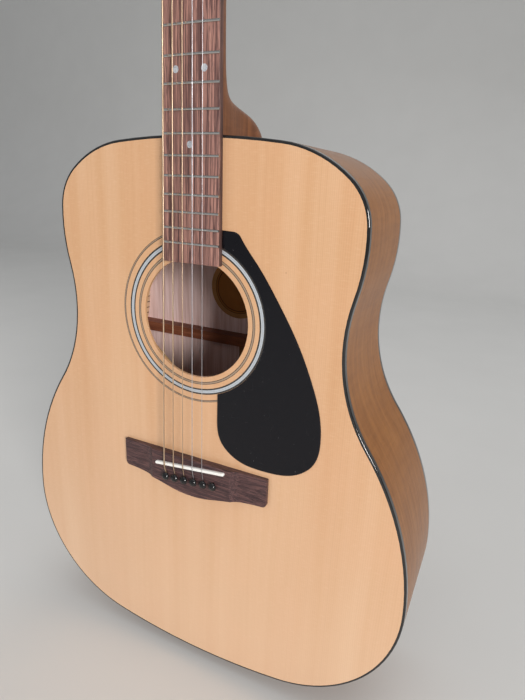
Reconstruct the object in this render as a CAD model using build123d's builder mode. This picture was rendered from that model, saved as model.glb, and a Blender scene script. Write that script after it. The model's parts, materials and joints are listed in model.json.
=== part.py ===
from build123d import *

import os
from math import asin, atan, cos, degrees, pi, radians, sin, tan

# Steel-string acoustic guitar, standing upright.
# +Z runs up the neck, the soundboard faces -Y and +X is the treble side.
# The origin is the middle of the strap button's outer face, the lowest point.

# ---- Driving dimensions, in millimetres and degrees ----
SCALE = 634.0
FRET_COUNT = 20
JOIN_FRET = 14
BUTTON_REACH = 12.0
TAIL_DEPTH = 119.0
NECK_END_DEPTH = 100.0
RIM_WALL = 2.2
TOP_T = 2.8
BACK_T = 2.8
BINDING_HEIGHT = 5.0
BINDING_ROUND = 1.2
LINING_WIDTH = 6.0
LINING_HEIGHT = 13.0

HOLE_DROP = 146.6
HOLE_RADIUS = 51.8
HOLE_ROUND = 0.5
RINGS = [(56.2, 58.6), (62.6, 68.0), (73.2, 75.0)]
RING_DEPTH = 1.2
GUARD_T = 1.0
GUARD_BEVEL = 0.5

BRIDGE_TOP_DROP = 278.0
BRIDGE_HALF = 77.3
BRIDGE_T = 7.5
WING_T = 4.2
BLOCK_HALF = 42.2
BLOCK_ROUND = 1.0
SADDLE_LENGTH = 75.0
SADDLE_T = 3.0
SADDLE_DROP = 285.9
SADDLE_SLANT = 6.1
SADDLE_TOP = 10.2
PIN_DROP = 299.7
PIN_SLANT = 4.9
PIN_RADIUS = 2.5
PIN_LENGTH = 22.0
SLOT_OFFSET = 3.2

PITCHES = ["e_low", "a", "d", "g", "b", "e_high"]
GAUGES = [1.35, 1.07, 0.81, 0.61, 0.41]
NUT_SPACING = 7.15
BRIDGE_SPACING = 10.3

NUT_WIDTH = 43.0
NUT_T = 5.0
BOARD_END_WIDTH = 53.5
BOARD_T = 6.0
BOARD_OVERHANG = 98.6
BOARD_ROUND = 0.6
CAMBER = 400.0
FRET_WIDTH = 2.1
FRET_HEIGHT = 1.1
TANG_T = 0.6
TANG_DEPTH = 1.8
DOT_RADIUS = 2.6

HEAD_TILT = 14.0
HEAD_LENGTH = 180.0
HEAD_T = 15.0
VENEER_T = 1.5
VENEER_ROUND = 0.8
HEAD_ROUND = 1.5
ROD_RADIUS = 3.0
ROD_DEPTH = 8.0
TENON_DEPTH = 78.0
NECK_BLOCK = (76.0, 45.0)
TAIL_BLOCK = (80.0, 18.0)

GEAR_TEETH = 15
GEAR_MODULE = 0.7
RUNNING = 0.05

# ---- Places worked out from them ----
FACE_Y = -TAIL_DEPTH / 2

# Half outline of the body from the neck round to the tail: radius and turn of
# each arc, clockwise when negative. The tail arc that closes it is worked out.
OUTLINE = [(675, -6.3), (98, -34.6), (48.5, -44.3), (152, -19.9), (140, 50.5)]
OUTLINE += [(245, -34.3), (130, -81.8)]
TAIL_Z = BUTTON_REACH


def fret_distance(number):
    """Distance from the nut to a fret."""
    return SCALE * (1 - 2 ** (-number / 12))


def trace_outline(join_z, inset):
    """Draw the right half of the outline, moved inward by the inset."""
    point = Vector(0, join_z - inset)
    heading = Vector(1, 0)
    for radius, turn in OUTLINE:
        size = radius + inset if turn > 0 else radius - inset
        arc = JernArc(point, heading, size, turn)
        point, heading = arc @ 1, arc % 1
    tail_radius = -point.X / heading.Y
    tail_turn = -180 - sum(turn for _, turn in OUTLINE)
    return JernArc(point, heading, tail_radius, tail_turn) @ 1


with BuildLine() as measuring_line:
    outline_end = trace_outline(0, 0)
BODY_LENGTH = -outline_end.Y
JOIN_Z = TAIL_Z + BODY_LENGTH
NUT_Z = JOIN_Z + fret_distance(JOIN_FRET)
HOLE_Z = JOIN_Z - HOLE_DROP
BACK_SLOPE = (TAIL_DEPTH - NECK_END_DEPTH) / BODY_LENGTH
BOARD_END_Z = JOIN_Z - BOARD_OVERHANG
BOARD_FRONT = FACE_Y - BOARD_T
CAMBER_Y = BOARD_FRONT + CAMBER
PITCH_RADIUS = GEAR_TEETH * GEAR_MODULE / 2
WORM_PITCH = pi * GEAR_MODULE


def at_depth(depth):
    """Sketch plane parallel to the soundboard; its x and y are X and Z."""
    return Plane.XZ.offset(-(FACE_Y + depth))


def back_plane(gap):
    """The back's sloping plane, moved into the body by a gap."""
    base = (0, FACE_Y + TAIL_DEPTH, TAIL_Z)
    return Plane(base, x_dir=(1, 0, 0), z_dir=(0, 1, BACK_SLOPE)).offset(-gap)


def body_outline(inset=0, mode=Mode.ADD):
    """Face of the body's outline, on the sketch that is being made."""
    with BuildLine() as border:
        trace_outline(JOIN_Z, inset)
        mirror(about=Plane.YZ)
    make_face(border.edges(), mode=mode)


def body_slab(inset, front, back_gap, hollow=None):
    """The body's outline extruded from a depth to the back, less a gap."""
    with BuildPart() as slab:
        with BuildSketch(at_depth(front)):
            body_outline(inset)
            if hollow is not None:
                body_outline(hollow, mode=Mode.SUBTRACT)
        extrude(amount=-TAIL_DEPTH)
        split(bisect_by=back_plane(back_gap), keep=Keep.BOTTOM)
    return slab.part


def board_half_width(z):
    """Half the fingerboard's width at a height."""
    share = (NUT_Z - z) / (NUT_Z - BOARD_END_Z)
    return (NUT_WIDTH + (BOARD_END_WIDTH - NUT_WIDTH) * share) / 2


def finish(part, name):
    """Label a finished piece and write it to its own file."""
    part.label = name
    export_step(part, f"parts/{name}.step")


os.makedirs("parts", exist_ok=True)

# ---- Neck tenon and its dovetail, shared by every piece that it passes ----
with BuildPart() as tenon:
    with BuildSketch(at_depth(0)):
        with BuildLine():
            Polyline(
                (-9, JOIN_Z + 4),
                (9, JOIN_Z + 4),
                (9, JOIN_Z),
                (13, JOIN_Z - 18),
                (-13, JOIN_Z - 18),
                (-9, JOIN_Z),
                close=True,
            )
        make_face()
    extrude(amount=-TENON_DEPTH)

# ---- Truss rod and the bore that it lies in ----
ROD_TOP_Z = NUT_Z - 25
ROD_END_Z = JOIN_Z - 62


def rod_cylinder(radius, low_z, high_z, mode=Mode.ADD):
    """A round bar on the truss rod's axis."""
    with BuildSketch(Plane.XY.offset(low_z), mode=Mode.PRIVATE) as bar:
        with Locations((0, FACE_Y + ROD_DEPTH)):
            Circle(radius)
    extrude(bar.sketch, amount=high_z - low_z, mode=mode)


with BuildPart() as truss_rod:
    rod_cylinder(ROD_RADIUS, ROD_END_Z, ROD_TOP_Z)
finish(truss_rod.part, "truss_rod")

ROD_NUT_LENGTH = 12.0
with BuildPart() as truss_rod_nut:
    rod_cylinder(4.5, ROD_END_Z - 5, ROD_END_Z - 5 + ROD_NUT_LENGTH)
    chamfer(truss_rod_nut.edges().group_by(Axis.Z)[0], 0.6)
    rod_cylinder(ROD_RADIUS + RUNNING, ROD_END_Z, ROD_END_Z + 8, Mode.SUBTRACT)
    with BuildSketch(Plane.XY.offset(ROD_END_Z - 5)):
        with Locations((0, FACE_Y + ROD_DEPTH)):
            RegularPolygon(2.3, 6)
    extrude(amount=5, mode=Mode.SUBTRACT)
finish(truss_rod_nut.part, "truss_rod_nut")


# ---- Bridge pin places, shared by the top, bridge plate and bridge ----
def pin_place(index):
    """X and Z of a bridge pin's axis."""
    x = BRIDGE_SPACING * (index - 2.5)
    return x, JOIN_Z - PIN_DROP + x * tan(radians(PIN_SLANT))


def pin_holes():
    """Sketch of the six pin holes, each with its string slot."""
    for index in range(len(PITCHES)):
        x, z = pin_place(index)
        with Locations((x, z)):
            Circle(PIN_RADIUS + RUNNING)
        with Locations((x, z + SLOT_OFFSET / 2 + 0.4)):
            Rectangle(1.6, SLOT_OFFSET + 0.8)


# ---- Soundboard, rosette and pickguard ----
def ring_solids(mode=Mode.ADD):
    """The three rosette rings as solids, let into the soundboard's face."""
    for inner, outer in RINGS:
        with BuildSketch(at_depth(0), mode=Mode.PRIVATE) as ring:
            with Locations((0, HOLE_Z)):
                Circle(outer)
                Circle(inner, mode=Mode.SUBTRACT)
        extrude(ring.sketch, amount=-RING_DEPTH, mode=mode)


with BuildPart() as soundboard:
    with BuildSketch(at_depth(0)):
        body_outline(RIM_WALL)
        with Locations((0, HOLE_Z)):
            Circle(HOLE_RADIUS, mode=Mode.SUBTRACT)
    extrude(amount=-TOP_T)
    face_arcs = soundboard.edges().filter_by(GeomType.CIRCLE).group_by(Axis.Y)[0]
    fillet(face_arcs.filter_by(lambda edge: edge.radius == HOLE_RADIUS), HOLE_ROUND)
    ring_solids(Mode.SUBTRACT)
    with BuildSketch(at_depth(0)):
        pin_holes()
    extrude(amount=-TOP_T, mode=Mode.SUBTRACT)
    add(tenon.part, mode=Mode.SUBTRACT)
finish(soundboard.part, "soundboard")

with BuildPart() as rosette:
    ring_solids()
finish(rosette.part, "rosette")

GUARD_RADIUS = 68.2
GUARD_TOP = JOIN_Z - 70.3
GUARD_CORNER = Vector(26.4, GUARD_TOP)
GUARD_EDGE = 24.6
BOTTOM_EDGE = (Align.CENTER, Align.MIN)
with BuildPart() as pickguard:
    with BuildSketch(at_depth(0)):
        with BuildLine():
            top = Line(GUARD_CORNER, (36.6, GUARD_TOP - 0.4))
            shoulder = TangentArc(top @ 1, (43.4, GUARD_TOP - 4.4), tangent=top % 1)
            side = Spline(
                shoulder @ 1,
                (58.1, JOIN_Z - 93.6),
                (78.5, JOIN_Z - 122.5),
                (96.3, JOIN_Z - 151.9),
                (110.3, JOIN_Z - 182.4),
                (118.7, JOIN_Z - 207.9),
                (121.3, JOIN_Z - 229.0),
                (117.4, JOIN_Z - 252.0),
                (100.8, JOIN_Z - 267.4),
                (70.9, JOIN_Z - 272.4),
                (46.6, JOIN_Z - 269.1),
                (31.2, JOIN_Z - 258.3),
                (GUARD_EDGE, JOIN_Z - 234.0),
                tangents=[shoulder % 1, (0, 1)],
            )
            Polyline(side @ 1, (GUARD_EDGE, JOIN_Z - 205), (12, JOIN_Z - 150), GUARD_CORNER)
        make_face()
        with Locations((0, HOLE_Z)):
            Circle(GUARD_RADIUS, mode=Mode.SUBTRACT)
            Rectangle(2 * GUARD_CORNER.X + 0.8, 400, align=BOTTOM_EDGE, mode=Mode.SUBTRACT)
    extrude(amount=GUARD_T)
    chamfer(pickguard.faces().sort_by(Axis.Y)[0].edges(), GUARD_BEVEL, GUARD_BEVEL)
finish(pickguard.part, "pickguard")

# ---- Rims, bindings, back and linings ----
for rim_name, side in (("rim_bass", Keep.BOTTOM), ("rim_treble", Keep.TOP)):
    with BuildPart() as rim:
        add(body_slab(0, BINDING_HEIGHT, BINDING_HEIGHT, hollow=RIM_WALL))
        split(bisect_by=Plane.YZ, keep=side)
        add(tenon.part, mode=Mode.SUBTRACT)
        Cylinder(3, 80, mode=Mode.SUBTRACT)
    finish(rim.part, rim_name)

# The front binding stops short of the tenon, under the fingerboard.
TENON_GAP = 20.0
with BuildPart() as top_binding:
    with BuildSketch(at_depth(0)):
        body_outline(0)
        body_outline(RIM_WALL, mode=Mode.SUBTRACT)
    extrude(amount=-BINDING_HEIGHT)
    fillet(top_binding.faces().sort_by(Axis.Y)[0].outer_wire().edges(), BINDING_ROUND)
    with Locations((0, FACE_Y, JOIN_Z)):
        Box(TENON_GAP, 4 * BINDING_HEIGHT, 4 * RIM_WALL, mode=Mode.SUBTRACT)
finish(top_binding.part, "top_binding")

with BuildPart() as back_binding:
    add(body_slab(0, 50, 0, hollow=RIM_WALL))
    split(bisect_by=back_plane(BINDING_HEIGHT), keep=Keep.TOP)
    back_face = back_binding.faces().sort_by(Axis(back_plane(0).origin, back_plane(0).z_dir))[-1]
    fillet(back_face.outer_wire().edges(), BINDING_ROUND)
finish(back_binding.part, "back_binding")

with BuildPart() as back_plate:
    add(body_slab(RIM_WALL, 50, 0))
    split(bisect_by=back_plane(BACK_T), keep=Keep.TOP)
finish(back_plate.part, "back_plate")

INNER_SLAB = body_slab(RIM_WALL, TOP_T, BACK_T)
BRACED_SLAB = body_slab(RIM_WALL + LINING_WIDTH, TOP_T, BACK_T)


def block_zone(size, z, mode):
    """A block's footprint on the centre line, through the whole depth."""
    with BuildSketch(at_depth(0), mode=Mode.PRIVATE) as zone:
        with Locations((0, z)):
            Rectangle(*size)
    extrude(zone.sketch, amount=-TAIL_DEPTH, mode=mode)


NECK_BLOCK_Z = JOIN_Z - NECK_BLOCK[1] / 2
TAIL_BLOCK_Z = TAIL_Z + TAIL_BLOCK[1] / 2

with BuildPart() as neck_block:
    add(INNER_SLAB)
    block_zone(NECK_BLOCK, NECK_BLOCK_Z, Mode.INTERSECT)
    add(tenon.part, mode=Mode.SUBTRACT)
    rod_cylinder(ROD_RADIUS, ROD_END_Z, ROD_TOP_Z, Mode.SUBTRACT)
finish(neck_block.part, "neck_block")

with BuildPart() as tail_block:
    add(INNER_SLAB)
    block_zone(TAIL_BLOCK, TAIL_BLOCK_Z, Mode.INTERSECT)
    Cylinder(3, 60, mode=Mode.SUBTRACT)
finish(tail_block.part, "tail_block")


# ---- Braces ----
def brace(start, end, width, height, base, low_end=4.0, taper=45.0):
    """A bar between two (x, z) points, its ends scooped down to low_end.

    It stands on the base depth and rises towards the inside of the body;
    a negative height makes it rise from the back towards the front.
    """
    span = Vector(end[0] - start[0], 0, end[1] - start[1])
    inward = 1 if height > 0 else -1
    plane = Plane(
        (start[0], FACE_Y + base, start[1]),
        x_dir=span,
        z_dir=span.cross(Vector(0, inward, 0)),
    )
    length = span.length
    tall = abs(height)
    with BuildPart() as bar:
        with BuildSketch(plane):
            with BuildLine():
                Polyline(
                    (0, low_end),
                    (0, 0),
                    (length, 0),
                    (length, low_end),
                    (length - taper, tall),
                    (taper, tall),
                    close=True,
                )
            make_face()
        extrude(amount=width / 2, both=True)
    return bar.part


X_CROSS_Z = JOIN_Z - 233
X_ANGLE = 49.0
X_WIDTH = 7.5
X_HEIGHT = 14.0


def x_leg(sign):
    """One leg of the X, from the lower bout on one side up to the other."""
    run = Vector(sin(radians(X_ANGLE)) * sign, cos(radians(X_ANGLE)))
    low = Vector(0, X_CROSS_Z) - run * 235
    high = Vector(0, X_CROSS_Z) + run * 175
    return brace((low.X, low.Y), (high.X, high.Y), X_WIDTH, X_HEIGHT, TOP_T, taper=70)


for leg_name, sign, lap_share in (("x_brace_bass", -1, 0), ("x_brace_treble", 1, 0.5)):
    with BuildPart() as lap:
        add(x_leg(-sign))
        with BuildSketch(at_depth(TOP_T + X_HEIGHT * lap_share)):
            with Locations((0, X_CROSS_Z)):
                Rectangle(3 * X_WIDTH, 3 * X_WIDTH)
        extrude(amount=-X_HEIGHT / 2, mode=Mode.INTERSECT)
    with BuildPart() as leg:
        add(x_leg(sign))
        add(lap.part, mode=Mode.SUBTRACT)
        add(BRACED_SLAB, mode=Mode.INTERSECT)
    finish(leg.part, leg_name)


def braces(name, runs, width, height, base, **shape):
    """Several braces in one node, trimmed at the inside of the linings."""
    with BuildPart() as group:
        for start, end in runs:
            add(brace(start, end, width, height, base, **shape))
        add(BRACED_SLAB, mode=Mode.INTERSECT)
    finish(group.part, name)


with BuildPart() as transverse_brace:
    level = JOIN_Z - 82
    add(brace((-170, level), (170, level), 12, 14, TOP_T))
    add(BRACED_SLAB, mode=Mode.INTERSECT)
    rod_cylinder(5.5, level - 10, level + 10, Mode.SUBTRACT)
finish(transverse_brace.part, "upper_transverse_brace")

SOUNDHOLE_SIDE = 62
hole_runs = [
    ((side * SOUNDHOLE_SIDE, JOIN_Z - 166), (side * SOUNDHOLE_SIDE, JOIN_Z - 90))
    for side in (-1, 1)
]
braces("soundhole_braces", hole_runs, 10, 4, TOP_T, low_end=1.5, taper=12)
tone_runs = [
    ((-120, JOIN_Z - 402), (106, JOIN_Z - 340)),
    ((-80, JOIN_Z - 455), (138, JOIN_Z - 374)),
]
braces("tone_bars", tone_runs, 7, 9, TOP_T)
finger_runs = []
for side in (-1, 1):
    finger_runs.append(((side * 50, JOIN_Z - 257), (side * 200, JOIN_Z - 238)))
    finger_runs.append(((side * 95, JOIN_Z - 301), (side * 220, JOIN_Z - 290)))
braces("finger_braces", finger_runs, 6, 7, TOP_T, taper=25)

PLATE_T = 3.0
with BuildPart() as bridge_plate:
    with BuildSketch(at_depth(TOP_T)):
        with BuildLine():
            Polyline(
                (-38, JOIN_Z - 274),
                (38, JOIN_Z - 274),
                (80, JOIN_Z - 310),
                (80, JOIN_Z - 320),
                (-80, JOIN_Z - 320),
                (-80, JOIN_Z - 310),
                close=True,
            )
        make_face()
        with BuildSketch(mode=Mode.SUBTRACT):
            pin_holes()
    extrude(amount=-PLATE_T)
finish(bridge_plate.part, "bridge_plate")

BACK_BRACE_DROPS = [(80, 10), (190, 10), (330, 18), (430, 18)]
BACK_BRACE_HEIGHT = 15.0


def back_depth(z):
    """Depth of the back's inner face at a height."""
    slant = cos(atan(BACK_SLOPE))
    return TAIL_DEPTH - BACK_SLOPE * (z - TAIL_Z) - BACK_T / slant


with BuildPart() as back_braces:
    for drop, width in BACK_BRACE_DROPS:
        level = JOIN_Z - drop
        base = back_depth(level) + 3
        height = -BACK_BRACE_HEIGHT - 3
        add(brace((-210, level), (210, level), width, height, base, low_end=8))
    add(BRACED_SLAB, mode=Mode.INTERSECT)
finish(back_braces.part, "back_braces")

# The centre strip is left out between the two upper braces, for the label.
STRIP_WIDTH = 20.0
LABEL_BAY = BACK_BRACE_DROPS[1][0] - BACK_BRACE_DROPS[0][0]
LABEL_RADIUS = 31.0
with BuildPart() as back_centre_strip:
    add(INNER_SLAB)
    split(bisect_by=back_plane(BACK_T + 2.5), keep=Keep.TOP)
    strip_length = BODY_LENGTH - NECK_BLOCK[1] - TAIL_BLOCK[1]
    strip_middle = TAIL_Z + TAIL_BLOCK[1] + strip_length / 2
    block_zone((STRIP_WIDTH, strip_length), strip_middle, Mode.INTERSECT)
    block_zone((STRIP_WIDTH, LABEL_BAY), JOIN_Z - BACK_BRACE_DROPS[0][0] - LABEL_BAY / 2, Mode.SUBTRACT)
    add(back_braces.part, mode=Mode.SUBTRACT)
finish(back_centre_strip.part, "back_centre_strip")

with BuildPart() as label:
    with BuildSketch(at_depth(0)):
        with Locations((-13.7, JOIN_Z - 138.4)):
            Circle(LABEL_RADIUS)
    extrude(amount=-TAIL_DEPTH)
    add(INNER_SLAB, mode=Mode.INTERSECT)
    split(bisect_by=back_plane(BACK_T + 0.3), keep=Keep.TOP)
finish(label.part, "label")


def lining(name, inside_plane):
    """A lining glued round the inside of the rims, left out at the blocks."""
    with BuildPart() as strip:
        add(body_slab(RIM_WALL, TOP_T, BACK_T, hollow=RIM_WALL + LINING_WIDTH))
        split(bisect_by=inside_plane, keep=Keep.TOP)
        block_zone(NECK_BLOCK, NECK_BLOCK_Z, Mode.SUBTRACT)
        block_zone(TAIL_BLOCK, TAIL_BLOCK_Z, Mode.SUBTRACT)
    finish(strip.part, name)


lining("top_linings", at_depth(TOP_T + LINING_HEIGHT))
lining("back_linings", back_plane(BACK_T + LINING_HEIGHT))

# ---- Neck and headstock ----
HEAD_START_Z = NUT_Z + NUT_T
HEAD_OUT = Vector(0, -cos(radians(HEAD_TILT)), sin(radians(HEAD_TILT)))
HEAD = Plane((0, FACE_Y, HEAD_START_Z), x_dir=(1, 0, 0), z_dir=HEAD_OUT)
WOOD_T = HEAD_T - VENEER_T

# Height above the joint, depth of the front and back of the neck, and how
# blunt its round is: 0 is an ellipse and 1 is the squarer end of the heel.
HEEL_STATIONS = [
    (-4, 0, 97.5, 1.0),
    (4, 0, 95.0, 1.0),
    (11, 0, 88.0, 0.9),
    (17, 0, 76.0, 0.75),
    (21, 0, 60.0, 0.55),
    (24, 0, 44.0, 0.4),
    (28, 0, 31.0, 0.25),
    (35, 0, 23.0, 0.1),
    (46, 0, 18.6, 0.0),
    (62, 0, 17.0, 0.0),
    (72, 0, 16.8, 0.0),
]
SHAFT_STATIONS = [(72, 0, 16.8, 0.0), (336, 0, 14.8, 0.0)]
VOLUTE_STATIONS = [
    (336, 0, 14.8, 0.0),
    (342, 0, 14.75, 0.0),
    (354, 0.5, 15.4, 0.4),
    (366, 3.5, 18.0, 0.9),
    (378, 7.0, 20.2, 1.0),
]


def neck_section(rise, front, back, blunt):
    """Half-round section of the neck, its flat side to the fingerboard."""
    half = min(board_half_width(JOIN_Z + rise), board_half_width(JOIN_Z))
    half = max(half, NUT_WIDTH / 2 - 0.4)
    low, high = FACE_Y + front, FACE_Y + back
    depth = high - low
    shoulder = half * (0.866 - 0.066 * blunt)
    cheek = half * (0.43 + 0.19 * blunt)
    with BuildSketch(Plane.XY.offset(JOIN_Z + rise)) as section:
        with BuildLine():
            Spline(
                (half, low),
                (shoulder, low + depth / 2),
                (cheek, low + depth * 0.9),
                (0, high),
                (-cheek, low + depth * 0.9),
                (-shoulder, low + depth / 2),
                (-half, low),
                tangents=[(0, 1), (0, -1)],
            )
            Line((-half, low), (half, low))
        make_face()
    return section.sketch


HEAD_FLANK = ((32.2, 46.0), (36.8, 162.0))


def head_half_width(reach):
    """Half the headstock's width at a reach from the nut."""
    (low_x, low_reach), (high_x, high_reach) = HEAD_FLANK
    return low_x + (high_x - low_x) * (reach - low_reach) / (high_reach - low_reach)


def head_face():
    """Face of the headstock, on the sketch that is being made."""
    with BuildLine() as border:
        Line((0, 0), (21.5, 0))
        throat = Spline((21.5, 0), (22.6, 10), (29.4, 28), HEAD_FLANK[0])
        flank = Line(throat @ 1, HEAD_FLANK[1])
        corner = TangentArc(flank @ 1, (30, 171), tangent=flank % 1)
        Spline(corner @ 1, (15, 175), (0, HEAD_LENGTH), tangents=[corner % 1, (-1, 0)])
        mirror(about=Plane.YZ)
    make_face(border.edges())


# Post of each tuner: side of the headstock and reach from the nut.
TUNER_REACH = [42.0, 83.0, 124.0]
POST_INSET = 12.0
TUNERS = [(-1, 0), (-1, 1), (-1, 2), (1, 2), (1, 1), (1, 0)]
POST_RADIUS = 3.0
BUSH_RADIUS = 4.6
SCREW_RADIUS = 1.2
SCREW_REACH = 10.6


def post_place(index):
    """Place of a tuner's post on the headstock's face: x and reach."""
    side, row = TUNERS[index]
    reach = TUNER_REACH[row]
    return side * (head_half_width(reach) - POST_INSET), reach


def post_holes(radius, shift=0.0):
    """Sketch of one hole at each tuner, moved up the headstock by a shift."""
    for index in range(len(TUNERS)):
        x, reach = post_place(index)
        with Locations((x, reach + shift)):
            Circle(radius)


with BuildPart() as neck:
    loft([neck_section(*station) for station in HEEL_STATIONS])
    loft([neck_section(*station) for station in SHAFT_STATIONS])
    loft([neck_section(*station) for station in VOLUTE_STATIONS])
    with BuildSketch(HEAD.offset(-VENEER_T)):
        head_face()
    extrude(amount=-WOOD_T)
    with BuildSketch(HEAD.offset(-HEAD_T)):
        post_holes(BUSH_RADIUS)
    extrude(amount=WOOD_T, mode=Mode.SUBTRACT)
    with BuildSketch(HEAD.offset(-HEAD_T)):
        post_holes(SCREW_RADIUS, SCREW_REACH)
    extrude(amount=8, mode=Mode.SUBTRACT)
    with BuildSketch(HEAD):
        Rectangle(2 * NUT_WIDTH, HEAD_LENGTH, align=BOTTOM_EDGE)
    extrude(amount=-VENEER_T, mode=Mode.SUBTRACT)
    add(body_slab(0, 0, 0), mode=Mode.SUBTRACT)
    add(tenon.part)
    with BuildSketch(Plane.XY.offset(JOIN_Z)):
        with Locations((0, FACE_Y)):
            Rectangle(2 * NUT_WIDTH, 20, align=(Align.CENTER, Align.MAX))
    extrude(amount=NUT_Z + NUT_T - JOIN_Z, mode=Mode.SUBTRACT)
    rod_cylinder(ROD_RADIUS, ROD_END_Z, ROD_TOP_Z, Mode.SUBTRACT)
    head_back = neck.faces().filter_by(lambda face: abs(face.normal_at().dot(HEAD_OUT) + 1) < 1e-6)
    back_edges = head_back.sort_by(SortBy.AREA)[-1].outer_wire().edges()
    fillet(back_edges.filter_by(lambda e: HEAD.to_local_coords(e.center()).Y > 20), HEAD_ROUND)
finish(neck.part, "neck")

with BuildPart() as headstock_veneer:
    with BuildSketch(HEAD):
        head_face()
        with BuildSketch(mode=Mode.SUBTRACT):
            post_holes(BUSH_RADIUS)
    extrude(amount=-VENEER_T)
    front_face = headstock_veneer.faces().sort_by(Axis(HEAD.origin, HEAD.z_dir))[-1]
    fillet(front_face.outer_wire().edges().sort_by(Axis.Z)[1:], VENEER_ROUND)
finish(headstock_veneer.part, "headstock_veneer")

# ---- Fingerboard, frets, dots and nut ----
def board_prism():
    """The fingerboard's tapered outline, its face rounded to the camber."""
    end_half, nut_half = BOARD_END_WIDTH / 2, NUT_WIDTH / 2
    with BuildPart() as prism:
        with BuildSketch(at_depth(0)):
            with BuildLine():
                Polyline(
                    (-end_half, BOARD_END_Z),
                    (end_half, BOARD_END_Z),
                    (nut_half, NUT_Z),
                    (-nut_half, NUT_Z),
                    close=True,
                )
            make_face()
        extrude(amount=BOARD_T)
        with BuildSketch(Plane.XY.offset(BOARD_END_Z - 1)):
            with Locations((0, CAMBER_Y)):
                Circle(CAMBER)
        extrude(amount=NUT_Z - BOARD_END_Z + 2, mode=Mode.INTERSECT)
    return prism.part


def fret_part(number, crown):
    """A fret's tang, or its whole T section, swung along the camber."""
    z = NUT_Z - fret_distance(number)
    angle = degrees(asin(board_half_width(z) / CAMBER))
    lean = radians(-angle)
    plane = Plane(
        (0, CAMBER_Y, z),
        x_dir=(sin(lean), -cos(lean), 0),
        z_dir=(-cos(lean), -sin(lean), 0),
    )
    with BuildPart() as fret:
        with BuildSketch(plane):
            with Locations((CAMBER - TANG_DEPTH / 2, 0)):
                Rectangle(TANG_DEPTH, TANG_T)
            if crown:
                with BuildLine():
                    low = (CAMBER, -FRET_WIDTH / 2)
                    high = (CAMBER, FRET_WIDTH / 2)
                    ThreePointArc(low, (CAMBER + FRET_HEIGHT, 0), high)
                    Line(high, low)
                make_face()
        axis = Axis((0, CAMBER_Y, z), (0, 0, 1))
        revolve(axis=axis, revolution_arc=2 * angle)
    return fret.part


with BuildPart() as frets:
    for number in range(1, FRET_COUNT + 1):
        add(fret_part(number, crown=True))
finish(frets.part, "frets")


def between_frets(number):
    """Height midway between a fret and the one before it."""
    return NUT_Z - (fret_distance(number - 1) + fret_distance(number)) / 2


DOT_PLACES = [(0, between_frets(number)) for number in (3, 5, 7, 9, 15)]
DOT_PLACES += [(x, between_frets(12)) for x in (-12.5, 12.5)]
with BuildPart() as position_dots:
    with BuildSketch(at_depth(1.6 - BOARD_T)):
        with Locations(*DOT_PLACES):
            Circle(DOT_RADIUS)
    extrude(amount=3)
    add(board_prism(), mode=Mode.INTERSECT)
finish(position_dots.part, "position_dots")

with BuildPart() as side_dots:
    for number, shift in ((3, 0), (5, 0), (7, 0), (9, 0), (12, -4), (12, 4), (15, 0)):
        z = between_frets(number) + shift
        with Locations(Location((-board_half_width(z), FACE_Y - 3, z), (0, 90, 0))):
            Cylinder(1.0, 3)
    add(board_prism(), mode=Mode.INTERSECT)
finish(side_dots.part, "side_dots")

with BuildPart() as fingerboard:
    add(board_prism())
    long_edges = fingerboard.edges().sort_by(SortBy.LENGTH)[-4:].sort_by(Axis.Y)[:2]
    fillet(long_edges, BOARD_ROUND)
    for number in range(1, FRET_COUNT + 1):
        add(fret_part(number, crown=False), mode=Mode.SUBTRACT)
    add(position_dots.part, mode=Mode.SUBTRACT)
    add(side_dots.part, mode=Mode.SUBTRACT)
finish(fingerboard.part, "fingerboard")

# ---- Strings: where each one runs ----
WINDING_HEIGHT = 9.0
WAIST_RADIUS = 2.5
WINDING_GAP = 0.06
NUT_CLEARANCE = FRET_HEIGHT + 0.35


def saddle_place(x):
    """Height of the saddle's middle line at an x."""
    return JOIN_Z - SADDLE_DROP + x * tan(radians(SADDLE_SLANT))


def camber_drop(x):
    """How far the rounded fingerboard falls away from its middle line."""
    return CAMBER - (CAMBER**2 - x**2) ** 0.5


def string_points(index):
    """Corners of a string: ball end, bridge, saddle, nut and post."""
    radius = GAUGES[index] / 2
    pin_x, pin_z = pin_place(index)
    slot_z = pin_z + SLOT_OFFSET
    nut_x = NUT_SPACING * (index - 2.5)
    nut_rise = BOARD_T - camber_drop(nut_x) + NUT_CLEARANCE + radius
    saddle_rise = SADDLE_TOP + radius + 0.2
    side = TUNERS[index][0]
    post_x, reach = post_place(index)
    wrap_x = post_x - side * (WAIST_RADIUS + WINDING_GAP + radius)
    post = HEAD.from_local_coords(Vector(wrap_x, reach, WINDING_HEIGHT))
    return [
        Vector(pin_x, FACE_Y + TOP_T + PLATE_T + 2.1, slot_z),
        Vector(pin_x, FACE_Y - BRIDGE_T - 0.8, slot_z),
        Vector(pin_x, FACE_Y - saddle_rise, saddle_place(pin_x)),
        Vector(nut_x, FACE_Y - nut_rise, NUT_Z + 1.5),
        post,
    ]


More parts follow.
